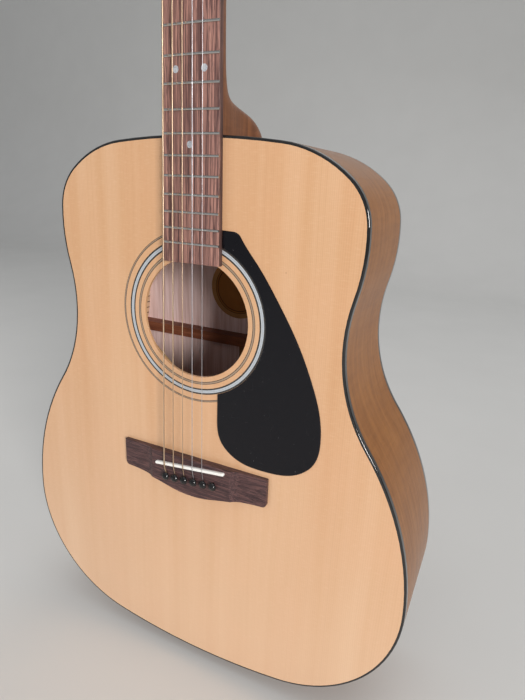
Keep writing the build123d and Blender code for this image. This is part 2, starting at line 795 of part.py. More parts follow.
BEND_RADII = [1.6, 2.5, 4.0]
BALL_RADIUS = 2.0
BALL_OFFSET = 1.2
WINDING_TURNS = 2.8
NUT_HEIGHT = BOARD_T + NUT_CLEARANCE + 0.7
with BuildPart() as nut:
    with BuildSketch(Plane.XY.offset(NUT_Z)):
        with Locations((0, FACE_Y)):
            Rectangle(NUT_WIDTH, NUT_HEIGHT, align=(Align.CENTER, Align.MAX))
    extrude(amount=NUT_T)
    crown = nut.edges().filter_by(Axis.X).group_by(Axis.Y)[0].sort_by(Axis.Z)[-1]
    fillet(crown, 2.4)
    for index, gauge in enumerate(GAUGES):
        bend, wrap = string_points(index)[3:]
        half = gauge / 2 + 0.12
        floor = bend.Y + half
        slope = (wrap.Y - bend.Y) / (wrap.Z - bend.Z)
        with BuildSketch(Plane.YZ.offset(bend.X)):
            with BuildLine():
                Polyline(
                    (floor, NUT_Z - 1),
                    (floor, bend.Z),
                    (floor + slope * 6 + 0.1, bend.Z + 6),
                    (floor - 9, bend.Z + 6),
                    (floor - 9, NUT_Z - 1),
                    close=True,
                )
            make_face()
        extrude(amount=half + 0.3, both=True, mode=Mode.SUBTRACT)
finish(nut.part, "nut")

# ---- Bridge, saddle and pins ----
SADDLE_SLOT_DEPTH = 5.0


def saddle_sketch():
    """Round-ended outline of the saddle, on the sketch that is being made."""
    with Locations((0, JOIN_Z - SADDLE_DROP)):
        SlotOverall(SADDLE_LENGTH, SADDLE_T, rotation=SADDLE_SLANT)


with BuildPart() as bridge:
    top_edge = JOIN_Z - BRIDGE_TOP_DROP
    with BuildSketch(at_depth(0)):
        with BuildLine():
            Line((0, top_edge), (BRIDGE_HALF, top_edge))
            heel = (BRIDGE_HALF, top_edge - 24.2)
            Line((BRIDGE_HALF, top_edge), heel)
            corner = TangentArc(heel, (BRIDGE_HALF - 4, top_edge - 28.0), tangent=(0, -1))
            Spline(
                corner @ 1,
                (51.0, top_edge - 29.9),
                (27.0, top_edge - 34.6),
                (0, top_edge - 38.2),
                tangents=[(-1, -0.03), (-1, 0)],
            )
            mirror(about=Plane.YZ)
        make_face()
    extrude(amount=BRIDGE_T)
    fillet(bridge.faces().sort_by(Axis.Y)[0].edges(), BLOCK_ROUND)
    for side in (-1, 1):
        front = FACE_Y - BRIDGE_T
        wing = FACE_Y - WING_T
        with BuildSketch(Plane.XY.offset(top_edge - 50)):
            with BuildLine():
                tip = (side * 80, wing + 0.8)
                foot = (side * (BLOCK_HALF + 10), wing)
                crest = (side * BLOCK_HALF, front - 0.1)
                Line(tip, foot)
                TangentArc(foot, crest, tangent=(-side * 25, -0.8))
                Polyline(crest, (crest[0], front - 5), (tip[0], front - 5), tip)
            make_face()
        extrude(amount=60, mode=Mode.SUBTRACT)
    with BuildSketch(at_depth(-BRIDGE_T)):
        saddle_sketch()
    extrude(amount=-SADDLE_SLOT_DEPTH, mode=Mode.SUBTRACT)
    with BuildSketch(at_depth(0)):
        pin_holes()
    extrude(amount=BRIDGE_T, mode=Mode.SUBTRACT)
finish(bridge.part, "bridge")

with BuildPart() as saddle:
    with BuildSketch(at_depth(SADDLE_SLOT_DEPTH - BRIDGE_T)):
        saddle_sketch()
    extrude(amount=SADDLE_TOP - BRIDGE_T + SADDLE_SLOT_DEPTH)
    fillet(saddle.edges().group_by(Axis.Y)[0], 1.2)
finish(saddle.part, "saddle")

PIN_HEAD_RADIUS = 3.9
PIN_COLLAR = 1.5
PIN_DOME = 4.7
with BuildPart() as pin:
    with BuildSketch(Plane.YZ):
        with BuildLine():
            Polyline(
                (-PIN_DOME, 0),
                (PIN_LENGTH, 0),
                (PIN_LENGTH, 2.0),
                (0, PIN_RADIUS),
                (-PIN_COLLAR, PIN_RADIUS),
                (-PIN_COLLAR, PIN_HEAD_RADIUS - 0.5),
                (-PIN_COLLAR - 0.6, PIN_HEAD_RADIUS),
            )
            rim_point = (-PIN_COLLAR - 0.6, PIN_HEAD_RADIUS)
            TangentArc((-PIN_DOME, 0), rim_point, tangent=(0, 1))
        make_face()
    revolve(axis=Axis.Y)
for index, pitch in enumerate(PITCHES):
    x, z = pin_place(index)
    with BuildPart() as bridge_pin:
        with Locations((x, FACE_Y - BRIDGE_T, z)):
            add(pin.part)
    finish(bridge_pin.part, f"bridge_pin_{pitch}")

for index, gauge in enumerate(GAUGES):
    points = string_points(index)
    with BuildPart() as string:
        with BuildLine() as route:
            FilletPolyline(*points, radius=BEND_RADII)
        with BuildSketch(Plane(route.line @ 0, z_dir=route.line % 0)):
            Circle(gauge / 2)
        sweep(path=route.line)
        with Locations(points[0] + Vector(0, 0, BALL_OFFSET)):
            Sphere(BALL_RADIUS)
        post_x, reach = post_place(index)
        with BuildSketch(HEAD.offset(WINDING_HEIGHT + gauge / 2)):
            with Locations((post_x, reach)):
                Circle(WAIST_RADIUS + WINDING_GAP + gauge)
                Circle(WAIST_RADIUS + WINDING_GAP, mode=Mode.SUBTRACT)
        extrude(amount=-gauge * WINDING_TURNS)
    finish(string.part, f"string_{PITCHES[index]}")

# ---- Tuners, in their own frame ----
# Z is the post's axis, out of the headstock's face; Y runs up the headstock;
# X points out of the treble side. The origin is on the headstock's back.
WORM_RADIUS = 2.5
WORM_REACH = PITCH_RADIUS + WORM_RADIUS
GEAR_Z = -5.0
GEAR_T = 4.0
HOUSING_DEPTH = 11.0
TOOTH_TIP = 0.5
TOOTH_ROOT = 0.75
TOOTH_HALF = 0.34
TOOTH_LEAN = tan(radians(20))
SHAFT_RADIUS = 1.5
WORM_PLACE = Plane((0, -WORM_REACH, GEAR_Z), x_dir=(0, -1, 0), z_dir=(1, 0, 0))


def tooth_profile():
    """Corners of a tooth's section, measured from the pitch line."""
    tip_half = TOOTH_HALF - TOOTH_TIP * TOOTH_LEAN
    root_half = TOOTH_HALF + TOOTH_ROOT * TOOTH_LEAN
    root = -TOOTH_ROOT - 0.2
    return [(root, -root_half), (TOOTH_TIP, -tip_half), (TOOTH_TIP, tip_half), (root, root_half)]


TOOTH = tooth_profile()
with BuildPart() as post:
    front = HEAD_T
    with BuildSketch(Plane.XZ):
        with BuildLine():
            Polyline(
                (0, -HOUSING_DEPTH + 1),
                (2, -HOUSING_DEPTH + 1),
                (2, GEAR_Z - GEAR_T / 2),
                (POST_RADIUS, GEAR_Z - GEAR_T / 2),
                (POST_RADIUS, front + 4.6),
                (WAIST_RADIUS, front + 5.6),
                (WAIST_RADIUS, front + 11.5),
                (POST_RADIUS, front + 12.6),
                (POST_RADIUS, front + 15.2),
                (POST_RADIUS - 0.8, front + 16),
                (0, front + 16),
                close=True,
            )
        make_face()
    revolve(axis=Axis.Z)
    with BuildSketch(Plane.XY.offset(GEAR_Z - GEAR_T / 2)):
        Circle(PITCH_RADIUS - TOOTH_ROOT)
        with PolarLocations(0, GEAR_TEETH, start_angle=180 / GEAR_TEETH - 90):
            Polygon(*[(PITCH_RADIUS + x, y) for x, y in TOOTH], align=None)
    extrude(amount=GEAR_T)
    with Locations(Location((0, 0, front + 9), (0, 90, 0))):
        Cylinder(0.9, 20, mode=Mode.SUBTRACT)

WORM_LENGTH = 3 * WORM_PITCH
with BuildPart() as knob:
    with BuildSketch(Plane.XZ):
        with BuildLine():
            Polyline(
                (0, -6.8),
                (SHAFT_RADIUS, -6.8),
                (SHAFT_RADIUS, -4.4),
                (WORM_RADIUS - TOOTH_ROOT, -4.4),
                (WORM_RADIUS - TOOTH_ROOT, 4.4),
                (SHAFT_RADIUS, 4.4),
                (SHAFT_RADIUS, 17.5),
                (2.8, 18.5),
                (2.8, 21),
                (0, 21),
                close=True,
            )
        make_face()
    revolve(axis=Axis.Z)
    with BuildSketch(Plane.XZ):
        with Locations((0, 20)):
            RectangleRounded(19, 14.5, 5.5, align=BOTTOM_EDGE)
    extrude(amount=3.6, both=True)
    broad = knob.faces().filter_by(Axis.Y).sort_by(SortBy.AREA)[-2:]
    fillet(broad.edges(), 2.6)
with BuildPart() as thread:
    with BuildLine() as thread_path:
        Helix(WORM_PITCH, WORM_LENGTH, WORM_RADIUS, center=(0, 0, -WORM_LENGTH / 2))
    start = Plane(thread_path.line @ 0, x_dir=(1, 0, 0), z_dir=thread_path.line % 0)
    with BuildSketch(start):
        Polygon(*TOOTH, align=None)
    sweep(path=thread_path.line, is_frenet=True)
with BuildPart() as knob_with_worm:
    add(knob.part)
    add(thread.part)

with BuildPart() as housing:
    with BuildSketch(Plane.XY):
        with Locations((0.8, -2.6)):
            RectangleRounded(18.4, 20.4, 4)
    extrude(amount=-HOUSING_DEPTH)
    fillet(housing.faces().sort_by(Axis.Z)[0].edges(), 2.2)
    with BuildSketch(Plane.XY):
        with Locations((0, SCREW_REACH - 2)):
            SlotOverall(10.5, 6.4, rotation=90)
    extrude(amount=-2)
    with Locations((0, 0, GEAR_Z)):
        Cylinder(PITCH_RADIUS + 1.1, GEAR_T + 1, mode=Mode.SUBTRACT)
    with Locations((0, -WORM_REACH / 2 - 1, GEAR_Z)):
        Box(8, WORM_REACH, GEAR_T + 1, mode=Mode.SUBTRACT)
    with Locations(Location((0, -WORM_REACH, GEAR_Z), (0, 90, 0))):
        Cylinder(WORM_RADIUS + TOOTH_TIP + 0.3, 9.4, mode=Mode.SUBTRACT)
    with Locations(Location((3, -WORM_REACH, GEAR_Z), (0, 90, 0))):
        Cylinder(SHAFT_RADIUS + RUNNING, 20, mode=Mode.SUBTRACT)
    Cylinder(POST_RADIUS + RUNNING, 20, mode=Mode.SUBTRACT)
    with Locations((0, 0, -8.9)):
        Cylinder(2 + RUNNING, 2.4, mode=Mode.SUBTRACT)
    with Locations((0, SCREW_REACH, -1)):
        Cylinder(SCREW_RADIUS, 2, mode=Mode.SUBTRACT)

with BuildPart() as bushing:
    with BuildSketch(Plane.XY.offset(3)):
        Circle(BUSH_RADIUS)
    extrude(amount=HEAD_T - 3)
    with BuildSketch(Plane.XY.offset(HEAD_T)):
        Circle(6.6)
    extrude(amount=0.8)
    with BuildSketch(Plane.XY.offset(HEAD_T + 0.8)):
        RegularPolygon(5.0, 6, major_radius=False)
    extrude(amount=2.0)
    chamfer(bushing.faces().sort_by(Axis.Z)[-1].edges(), 0.4)
    Cylinder(POST_RADIUS + RUNNING, 80, mode=Mode.SUBTRACT)

with BuildPart() as screw:
    with BuildSketch(Plane.XZ):
        with BuildLine():
            Polyline((0, 8), (SCREW_RADIUS, 6.5), (SCREW_RADIUS, -2), (2.3, -2), (2.3, -2.4))
            TangentArc((2.3, -2.4), (0, -3.6), tangent=(0, -1))
            Line((0, -3.6), (0, 8))
        make_face()
    revolve(axis=Axis.Z)
    with Locations((0, 0, -3.6)):
        Box(2.4, 0.6, 1.4, mode=Mode.SUBTRACT)
        Box(0.6, 2.4, 1.4, mode=Mode.SUBTRACT)


def tuner_place(index):
    """Frame of a tuner: its post's axis at the headstock's back."""
    x, reach = post_place(index)
    return HEAD.location * Location((x, reach, -HEAD_T))


def on_headstock(shape, index):
    """A tuner piece at its place, mirrored on the bass side."""
    side = TUNERS[index][0]
    turned = shape if side > 0 else shape.mirror(Plane.YZ)
    return turned.moved(tuner_place(index))


screw_there = screw.part.moved(Location((0, SCREW_REACH, 0)))
knob_there = knob_with_worm.part.moved(WORM_PLACE.location)
for group_name, piece in (
    ("tuner_housings", housing.part),
    ("tuner_bushings", bushing.part),
    ("tuner_screws", screw_there),
):
    with BuildPart() as group:
        for index in range(len(TUNERS)):
            add(on_headstock(piece, index))
    finish(group.part, group_name)
for index, pitch in enumerate(PITCHES):
    for piece_name, piece in (("tuner_post", post.part), ("tuner_knob", knob_there)):
        with BuildPart() as moving:
            add(on_headstock(piece, index))
        finish(moving.part, f"{piece_name}_{pitch}")

# ---- Strap button ----
with BuildPart() as strap_button:
    with BuildSketch(Plane.XZ):
        with BuildLine():
            Polyline(
                (0, 0),
                (7, 0),
                (7, 3.5),
                (4.5, 5),
                (4.5, 8.5),
                (6.5, BUTTON_REACH),
                (3, BUTTON_REACH),
                (3, BUTTON_REACH + 18),
                (0, BUTTON_REACH + 18),
                close=True,
            )
        make_face()
    revolve(axis=Axis.Z)
finish(strap_button.part, "strap_button")
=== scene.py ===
import json
import math

import bpy
from mathutils import Matrix, Vector


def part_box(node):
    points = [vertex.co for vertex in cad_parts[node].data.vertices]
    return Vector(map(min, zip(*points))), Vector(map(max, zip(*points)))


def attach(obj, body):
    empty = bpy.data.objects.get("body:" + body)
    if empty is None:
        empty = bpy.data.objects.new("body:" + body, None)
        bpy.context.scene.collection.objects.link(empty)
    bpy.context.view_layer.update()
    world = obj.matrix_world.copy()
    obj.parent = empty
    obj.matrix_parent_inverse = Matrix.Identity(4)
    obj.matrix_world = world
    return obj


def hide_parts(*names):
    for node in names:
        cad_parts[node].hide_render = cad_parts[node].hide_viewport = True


# Steel-string acoustic guitar, standing upright. Metres; the soundboard faces
# -Y, the neck runs up +Z and +X is the treble side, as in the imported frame.

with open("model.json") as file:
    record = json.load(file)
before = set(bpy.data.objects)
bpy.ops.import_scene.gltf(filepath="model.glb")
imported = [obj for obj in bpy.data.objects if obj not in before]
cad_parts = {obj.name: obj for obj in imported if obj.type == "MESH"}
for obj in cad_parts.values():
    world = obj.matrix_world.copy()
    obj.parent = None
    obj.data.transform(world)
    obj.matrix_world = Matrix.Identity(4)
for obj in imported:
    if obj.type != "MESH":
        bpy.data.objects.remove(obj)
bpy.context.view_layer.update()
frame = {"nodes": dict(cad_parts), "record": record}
MM = 0.001
PITCHES = ["e_low", "a", "d", "g", "b", "e_high"]


# ---- Sizes read from the frame ----
def middle(node):
    """Middle of a CAD node's box."""
    low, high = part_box(node)
    return (low + high) / 2


HOLE = middle("rosette")
FACE_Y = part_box("top_binding")[0].y
BRIDGE_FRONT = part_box("bridge")[0].y


# ---- Camera ----
LENS = 26.69
SENSOR = 36.0
NEAREST_SEEN = 0.01
CAMERA_PLACE = Vector((0.2378, -0.4216, 0.4830))
CAMERA_FORWARD = Vector((-0.40857, 0.86078, -0.30353))
CAMERA_UP = Vector((-0.1687, 0.2556, 0.9520))


def add_camera():
    """The camera stands where the photographer did, low and close on the treble side."""
    data = bpy.data.cameras.new("camera")
    data.lens = LENS
    data.sensor_width = SENSOR
    data.clip_start = NEAREST_SEEN
    camera = bpy.data.objects.new("camera", data)
    bpy.context.scene.collection.objects.link(camera)
    forward = CAMERA_FORWARD.normalized()
    right = forward.cross(CAMERA_UP).normalized()
    up = right.cross(forward)
    turn = Matrix((right, up, -forward)).transposed().to_4x4()
    camera.matrix_world = Matrix.Translation(CAMERA_PLACE) @ turn
    bpy.context.scene.camera = camera


# ---- Materials ----
def tone(red, green, blue):
    """Linear colour from 8-bit display values."""
    channels = []
    for value in (red, green, blue):
        share = value / 255
        channels.append(share / 12.92 if share <= 0.04045 else ((share + 0.055) / 1.055) ** 2.4)
    return (*channels, 1.0)


class Finish:
    """One material, wired up node by node around a Principled shader.

    Places are in millimetres of the row frame and stay with a moving piece.
    """

    def __init__(self, name, **constants):
        self.material = bpy.data.materials.new(name)
        self.material.use_nodes = True
        self.tree = self.material.node_tree
        self.shader = self.tree.nodes["Principled BSDF"]
        for socket, value in constants.items():
            self.shader.inputs[SOCKETS[socket]].default_value = value
        coordinates = self.tree.nodes.new("ShaderNodeTexCoord")
        self.normal = coordinates.outputs["Normal"]
        self.place = self.vector("SCALE", coordinates.outputs["Object"], scale=1 / MM)

    def wire(self, socket, value):
        """Give a socket its value, by a link if the value is another node's."""
        if isinstance(value, bpy.types.NodeSocket):
            self.tree.links.new(value, socket)
        else:
            socket.default_value = value

    def set(self, socket, value):
        """Link a value to one of the shader's sockets."""
        self.wire(self.shader.inputs[SOCKETS[socket]], value)

    def vector(self, operation, a, b=None, scale=None):
        """Vector arithmetic."""
        node = self.tree.nodes.new("ShaderNodeVectorMath")
        node.operation = operation
        self.wire(node.inputs[0], a)
        if b is not None:
            self.wire(node.inputs[1], b)
        if scale is not None:
            self.wire(node.inputs["Scale"], scale)
        return node.outputs["Value" if operation == "LENGTH" else "Vector"]

    def calc(self, operation, a, b=0.0, c=0.0, clamp=False):
        """Arithmetic on plain numbers."""
        node = self.tree.nodes.new("ShaderNodeMath")
        node.operation = operation
        node.use_clamp = clamp
        for socket, value in zip(node.inputs, (a, b, c)):
            self.wire(socket, value)
        return node.outputs[0]

    def axes(self, vector=None):
        """X, Y and Z of a vector, by default of the place."""
        node = self.tree.nodes.new("ShaderNodeSeparateXYZ")
        self.wire(node.inputs[0], self.place if vector is None else vector)
        return node.outputs

    def join(self, x, y, z):
        """A vector from its three parts."""
        node = self.tree.nodes.new("ShaderNodeCombineXYZ")
        for socket, value in zip(node.inputs, (x, y, z)):
            self.wire(socket, value)
        return node.outputs[0]

    def noise(self, size, detail=3.0, rough=0.5, distort=0.0, at=None):
        """Noise whose features are about size millimetres along X, Y and Z."""
        shrink = self.vector("DIVIDE", self.place if at is None else at, size)
        node = self.tree.nodes.new("ShaderNodeTexNoise")
        settings = {"Scale": 1.0, "Detail": detail, "Roughness": rough, "Distortion": distort}
        for name, value in settings.items():
            node.inputs[name].default_value = value
        self.wire(node.inputs["Vector"], shrink)
        return node.outputs["Fac"]

    def cells(self, size, at=None):
        """Distance to the nearest of scattered points, and a random number for that point."""
        shrink = self.vector("DIVIDE", self.place if at is None else at, size)
        node = self.tree.nodes.new("ShaderNodeTexVoronoi")
        node.inputs["Scale"].default_value = 1.0
        self.wire(node.inputs["Vector"], shrink)
        return node.outputs["Distance"], self.axes(node.outputs["Color"])[0]

    def span(self, value, low, high, out_low=0.0, out_high=1.0):
        """A value taken from one range to another, and held inside it."""
        node = self.tree.nodes.new("ShaderNodeMapRange")
        for socket, number in zip(node.inputs, (value, low, high, out_low, out_high)):
            self.wire(socket, number)
        return node.outputs["Result"]

    def ramp(self, value, stops, step=False):
        """Colour that goes, or steps, from stop to stop as a value rises."""
        node = self.tree.nodes.new("ShaderNodeValToRGB")
        node.color_ramp.interpolation = "CONSTANT" if step else "LINEAR"
        elements = node.color_ramp.elements
        while len(elements) < len(stops):
            elements.new(1.0)
        for element, (position, colour) in zip(elements, stops):
            element.position = position
            element.color = colour
        self.wire(node.inputs["Fac"], value)
        return node.outputs["Color"]

    def mix(self, share, a, b, mode="MIX"):
        """Colour a with a share of colour b over it."""
        node = self.tree.nodes.new("ShaderNodeMix")
        node.data_type = "RGBA"
        node.blend_type = mode
        for index, value in ((0, share), (6, a), (7, b)):
            self.wire(node.inputs[index], value)
        return node.outputs[2]

    def bump(self, height, depth, socket="normal"):
        """Raise the surface by depth millimetres where height is 1."""
        node = self.tree.nodes.new("ShaderNodeBump")
        node.inputs["Strength"].default_value = 1.0
        node.inputs["Distance"].default_value = depth * MM
        self.wire(node.inputs["Height"], height)
        self.set(socket, node.outputs[0])

    def scratches(self, spacing, width, share):
        """Fine wandering hairlines, broken up so that only a share of them shows."""
        line = self.noise((spacing,) * 3, detail=1.0, rough=0.4)
        off = self.calc("ABSOLUTE", self.calc("SUBTRACT", line, 0.5))
        thin = self.span(off, 0.0, width / spacing, 1.0, 0.0)
        broken = self.noise((spacing * 0.6,) * 3, detail=2.0)
        return self.calc("MULTIPLY", thin, self.span(broken, 1 - share, 1.05 - share))

    def specks(self, spacing, radius, share):
        """Small round specks, such as dust, at a share of scattered points."""
        distance, pick = self.cells((spacing,) * 3)
        size = self.calc("MULTIPLY", pick, radius / spacing / share)
        dot = self.calc("LESS_THAN", distance, size)
        return self.calc("MULTIPLY", dot, self.calc("LESS_THAN", pick, share))

    def radius(self, centre):
        """Distance in millimetres from a centre, over the soundboard's plane."""
        offset = self.vector("SUBTRACT", self.place, tuple(v / MM for v in centre))
        x, _, z = self.axes(offset)
        return self.vector("LENGTH", self.join(x, 0.0, z))


SOCKETS = {
    "colour": "Base Color",
    "metal": "Metallic",
    "rough": "Roughness",
    "ior": "IOR",
    "normal": "Normal",
    "coat": "Coat Weight",
    "coat_rough": "Coat Roughness",
    "coat_normal": "Coat Normal",
    "specular": "Specular IOR Level",
}


YEAR_LINES = 0.8
YEAR_LINES_WIDEN = -0.0008
GRAIN_WANDER = 9.0


def spruce():
    """Book-matched spruce under amber lacquer: year lines along Z, silk across them, and a painted reflection
    that pales its lower end.

    The lines are counted per millimetre from the centre joint and grow wider away from it.
    """
    top = Finish("spruce", coat=1.0, coat_rough=0.05, specular=0.3)
    x, _, z = top.axes()
    wander = top.calc("MULTIPLY", top.noise((70, 70, 260), detail=2.0), GRAIN_WANDER)
    away = top.calc("ADD", top.calc("ABSOLUTE", x), wander)
    widening = top.calc("MULTIPLY", top.calc("MULTIPLY", away, away), YEAR_LINES_WIDEN)
    lines = top.calc("MULTIPLY_ADD", away, YEAR_LINES, widening)
    shades = [(0.0, 0.1), (0.55, 0.3), (0.9, 1.0), (1.0, 0.1)]
    line = top.ramp(top.calc("FRACT", lines), [(at, (share, share, share, 1)) for at, share in shades])
    number = top.calc("FLOOR", lines)
    strength = top.noise((1, 1, 1), at=top.join(top.calc("MULTIPLY", number, 0.71), 0.0, 0.0))
    line = top.calc("MULTIPLY", line, top.span(strength, 0.3, 0.75, 0.25, 1.0))
    mirrored = top.join(away, 0.0, z)
    bands = top.noise((16, 1, 500), detail=3.0, at=mirrored)
    broad = top.noise((70, 1, 420), detail=2.0, at=mirrored)
    silk = top.noise((7, 30, 0.9), detail=2.0)
    cloud = top.noise((60, 60, 60), detail=2.0)
    colour = top.mix(top.span(bands, 0.3, 0.7), tone(226, 184, 144), tone(216, 168, 124))
    colour = top.mix(top.span(broad, 0.35, 0.7, 0.0, 0.45), colour, tone(208, 154, 108))
    colour = top.mix(top.calc("MULTIPLY", line, 0.4), colour, tone(184, 128, 84))
    colour = top.mix(top.span(silk, 0.5, 0.8, 0.0, 0.22), colour, tone(240, 208, 170))
    colour = top.mix(top.span(cloud, 0.4, 0.8, 0.0, 0.15), colour, tone(232, 172, 132))
    # Painted reflection: the soundboard grows paler and pinker towards its lower end.
    colour = top.mix(top.span(z, 340, 60, 0.0, 0.4), colour, tone(238, 204, 172))
    dings = top.specks(38, 1.2, 0.3)
    colour = top.mix(top.calc("MULTIPLY", dings, 0.35), colour, tone(150, 95, 55))
    top.set("colour", colour)
    top.set("rough", top.span(top.calc("ADD", cloud, top.calc("MULTIPLY", line, 0.3)), 0.3, 1.1, 0.34, 0.5))
    top.bump(top.calc("MULTIPLY_ADD", line, 0.6, silk), 0.012)
    marks = top.calc("ADD", top.scratches(46, 0.10, 0.42), dings)
    ripple = top.noise((24, 24, 60), detail=1.0)
    top.bump(top.calc("MULTIPLY_ADD", marks, -0.35, ripple), 0.02, socket="coat_normal")
    return top.material


def curly_wood(name, along, light, dark, figure_share, **constants):
    """Mahogany-like wood; its grain runs along one way and its curl lies across that."""
    wood = Finish(name, **constants)
    grain_size, streak_size, pore_size, curl_size = along
    streaks = wood.noise(streak_size, detail=4.0, rough=0.6, distort=0.4)
    grain = wood.noise(grain_size, detail=3.0, rough=0.7)
    pores = wood.noise(pore_size, detail=1.0)
    curl = wood.noise(curl_size, detail=1.5, rough=0.4, distort=0.35)
    patch_size = tuple(3.5 * size if size < 20 else size for size in curl_size)
    patch = wood.noise(patch_size, detail=2.0, distort=0.8)
    curl = wood.calc("MULTIPLY_ADD", curl, 0.6, wood.calc("MULTIPLY", patch, 0.4))
    broad = wood.noise(tuple(6 * size for size in curl_size), detail=2.0)
    colour = wood.mix(wood.span(streaks, 0.3, 0.7), light, dark)
    curl_light = tuple(min(1.0, value * 1.9) for value in light[:3]) + (1.0,)
    figure = wood.span(curl, 0.4, 0.6, 0.0, figure_share)
    colour = wood.mix(figure, colour, curl_light)
    colour = wood.mix(wood.span(broad, 0.35, 0.75, 0.0, 0.35), colour, dark)
    colour = wood.mix(wood.span(grain, 0.45, 0.8, 0.0, 0.35), colour, dark)
    black = tuple(value * 0.25 for value in dark[:3]) + (1.0,)
    pore = wood.span(pores, 0.66, 0.74)
    colour = wood.mix(wood.calc("MULTIPLY", pore, 0.6), colour, black)
    wood.colour = colour
    wood.set("colour", colour)
    wood.set("rough", wood.span(grain, 0.2, 0.8, 0.38, 0.6))
    wood.bump(wood.calc("MULTIPLY_ADD", pore, -0.5, curl), 0.35 * figure_share)
    return wood


# Sizes of grain, streaks, pores and curl for wood whose grain runs round the
# rims, along Z or along X, and for the fingerboard's longer streaks.
ROUND_RIMS = [(30, 0.5, 30), (60, 5, 60), (9, 0.25, 9), (3.6, 30, 3.6)]
ALONG_Z = [(0.5, 0.5, 30), (5, 5, 90), (0.25, 0.25, 9), (30, 30, 3.6)]
ALONG_X = [(30, 0.5, 0.5), (50, 2.6, 2.6), (9, 0.25, 0.25), (6, 30, 30)]
BOARD_GRAIN = [(0.5, 0.5, 30), (4.2, 4.2, 170), (0.25, 0.25, 9), (30, 30, 3.6)]


def rim_wood(name, along):
    """Red-brown back and sides under gloss lacquer; the back's inner face is unfinished wood, painted paler
    than it is as painted light.
    """
    light, dark = tone(150, 100, 52), tone(124, 78, 38)
    wood = curly_wood(name, along, light, dark, 0.08, coat=0.35, coat_rough=0.04, specular=0.15)
    if along is ALONG_Z:
        inside = wood.calc("LESS_THAN", wood.axes(wood.normal)[1], -0.5)
        streaks = wood.noise((2.5, 2.5, 160), detail=3.0)
        # Unfinished wood on the back's inner face, painted far paler and pinker than that wood: partly its
        # own colour, partly painted light through the soundhole.
        bare_and_lit = wood.mix(wood.span(streaks, 0.35, 0.65), tone(250, 222, 218), tone(224, 190, 182))
        wood.set("colour", wood.mix(inside, wood.colour, bare_and_lit))
    marks = wood.scratches(52, 0.12, 0.45)
    ripple = wood.noise((30, 30, 30), detail=1.0)
    wood.bump(wood.calc("MULTIPLY_ADD", marks, -0.4, ripple), 0.02, socket="coat_normal")
    return wood.material


def neck_wood():
    """Satin brown mahogany."""
    wood = curly_wood("neck_mahogany", ALONG_Z, tone(136, 88, 54), tone(96, 56, 32), 0.12, specular=0.4)
    return wood.material


def inner_wood(name, along, light, dark):
    """Bare wood inside the body."""
    return curly_wood(name, along, light, dark, 0.1, specular=0.2).material


KERF_SPACING = 6.5
KERF_WIDTH = 1.0
DIAGONAL = math.sqrt(0.5)


def lining_wood():
    """Pale lining strips, sawn nearly through every few millimetres so that they bend; the saw cuts are only
    dark lines of painted shade.
    """
    strip = curly_wood("lining_wood", ROUND_RIMS, tone(224, 196, 168), tone(196, 160, 128), 0.1, specular=0.2)
    x, _, z = strip.axes()
    across = strip.calc("ABSOLUTE", strip.axes(strip.normal)[2])
    ends = strip.calc("GREATER_THAN", across, DIAGONAL)
    run = strip.calc("MULTIPLY_ADD", ends, strip.calc("SUBTRACT", x, z), z)
    step = strip.calc("FRACT", strip.calc("DIVIDE", run, KERF_SPACING))
    kerf_shade = strip.calc("LESS_THAN", step, KERF_WIDTH / KERF_SPACING)
    # Painted shade: a dark line stands for the shadow inside each saw cut.
    strip.set("colour", strip.mix(kerf_shade, strip.colour, tone(58, 38, 28)))
    return strip.material


def rosewood(name, along, light, dark, rough_low, rough_high, painted_side_shade=1.0):
    """Streaky rosewood with open pores, only oiled; its sides may be darkened with painted shade."""
    wood = Finish(name, specular=0.35)
    grain_size, streak_size, pore_size, _ = along
    narrow = tuple(size * 0.45 if size < 30 else size for size in streak_size)
    streaks = wood.noise(streak_size, detail=5.0, rough=0.62, distort=0.5)
    half = tuple((a + b) / 2 for a, b in zip(light, dark))
    fine = wood.noise(narrow, detail=3.0, rough=0.6)
    grain = wood.noise(grain_size, detail=2.0)
    pores = wood.span(wood.noise(pore_size, detail=1.0), 0.6, 0.68)
    colour = wood.ramp(
        streaks, [(0.34, dark), (0.46, light), (0.53, dark), (0.62, light), (0.72, half)]
    )
    colour = wood.mix(wood.span(fine, 0.45, 0.7, 0.0, 0.75), colour, dark)
    colour = wood.mix(wood.span(grain, 0.5, 0.8, 0.0, 0.4), colour, tone(60, 34, 28))
    colour = wood.mix(wood.calc("MULTIPLY", pores, 0.75), colour, tone(34, 20, 18))
    # Painted shade: faces turned towards X are darkened by this share.
    side = wood.calc("ABSOLUTE", wood.axes(wood.normal)[0])
    shade = wood.span(side, 0.75, 0.95, 1.0, painted_side_shade)
    wood.set("colour", wood.mix(1.0, colour, wood.join(shade, shade, shade), mode="MULTIPLY"))
    wood.set("rough", wood.span(fine, 0.3, 0.7, rough_low, rough_high))
    wood.bump(wood.calc("MULTIPLY_ADD", pores, -1.0, grain), 0.06)
    return wood.material


def pickguard_plastic():
    """Polished black sheet with dust and the hairlines that picks leave."""
    sheet = Finish("pickguard_black", ior=1.38)
    hairs = sheet.calc("ADD", sheet.scratches(17, 0.04, 0.45), sheet.scratches(7, 0.03, 0.36))
    dust = sheet.specks(2.8, 0.26, 0.3)
    smears = sheet.noise((26, 26, 40), detail=3.0)
    colour = sheet.mix(sheet.calc("MULTIPLY", dust, 0.6), tone(12, 11, 17), tone(150, 148, 150))
    colour = sheet.mix(sheet.calc("MULTIPLY", hairs, 0.14, clamp=True), colour, tone(110, 108, 108))
    sheet.set("colour", colour)
    film = sheet.span(smears, 0.35, 0.75, 0.12, 0.26)
    worn = sheet.calc("MULTIPLY_ADD", sheet.calc("ADD", dust, hairs), 0.35, film, clamp=True)
    sheet.set("rough", worn)
    sheet.bump(sheet.calc("MULTIPLY_ADD", hairs, -1.0, sheet.noise((14, 14, 14), detail=1.0)), 0.02)
    return sheet.material


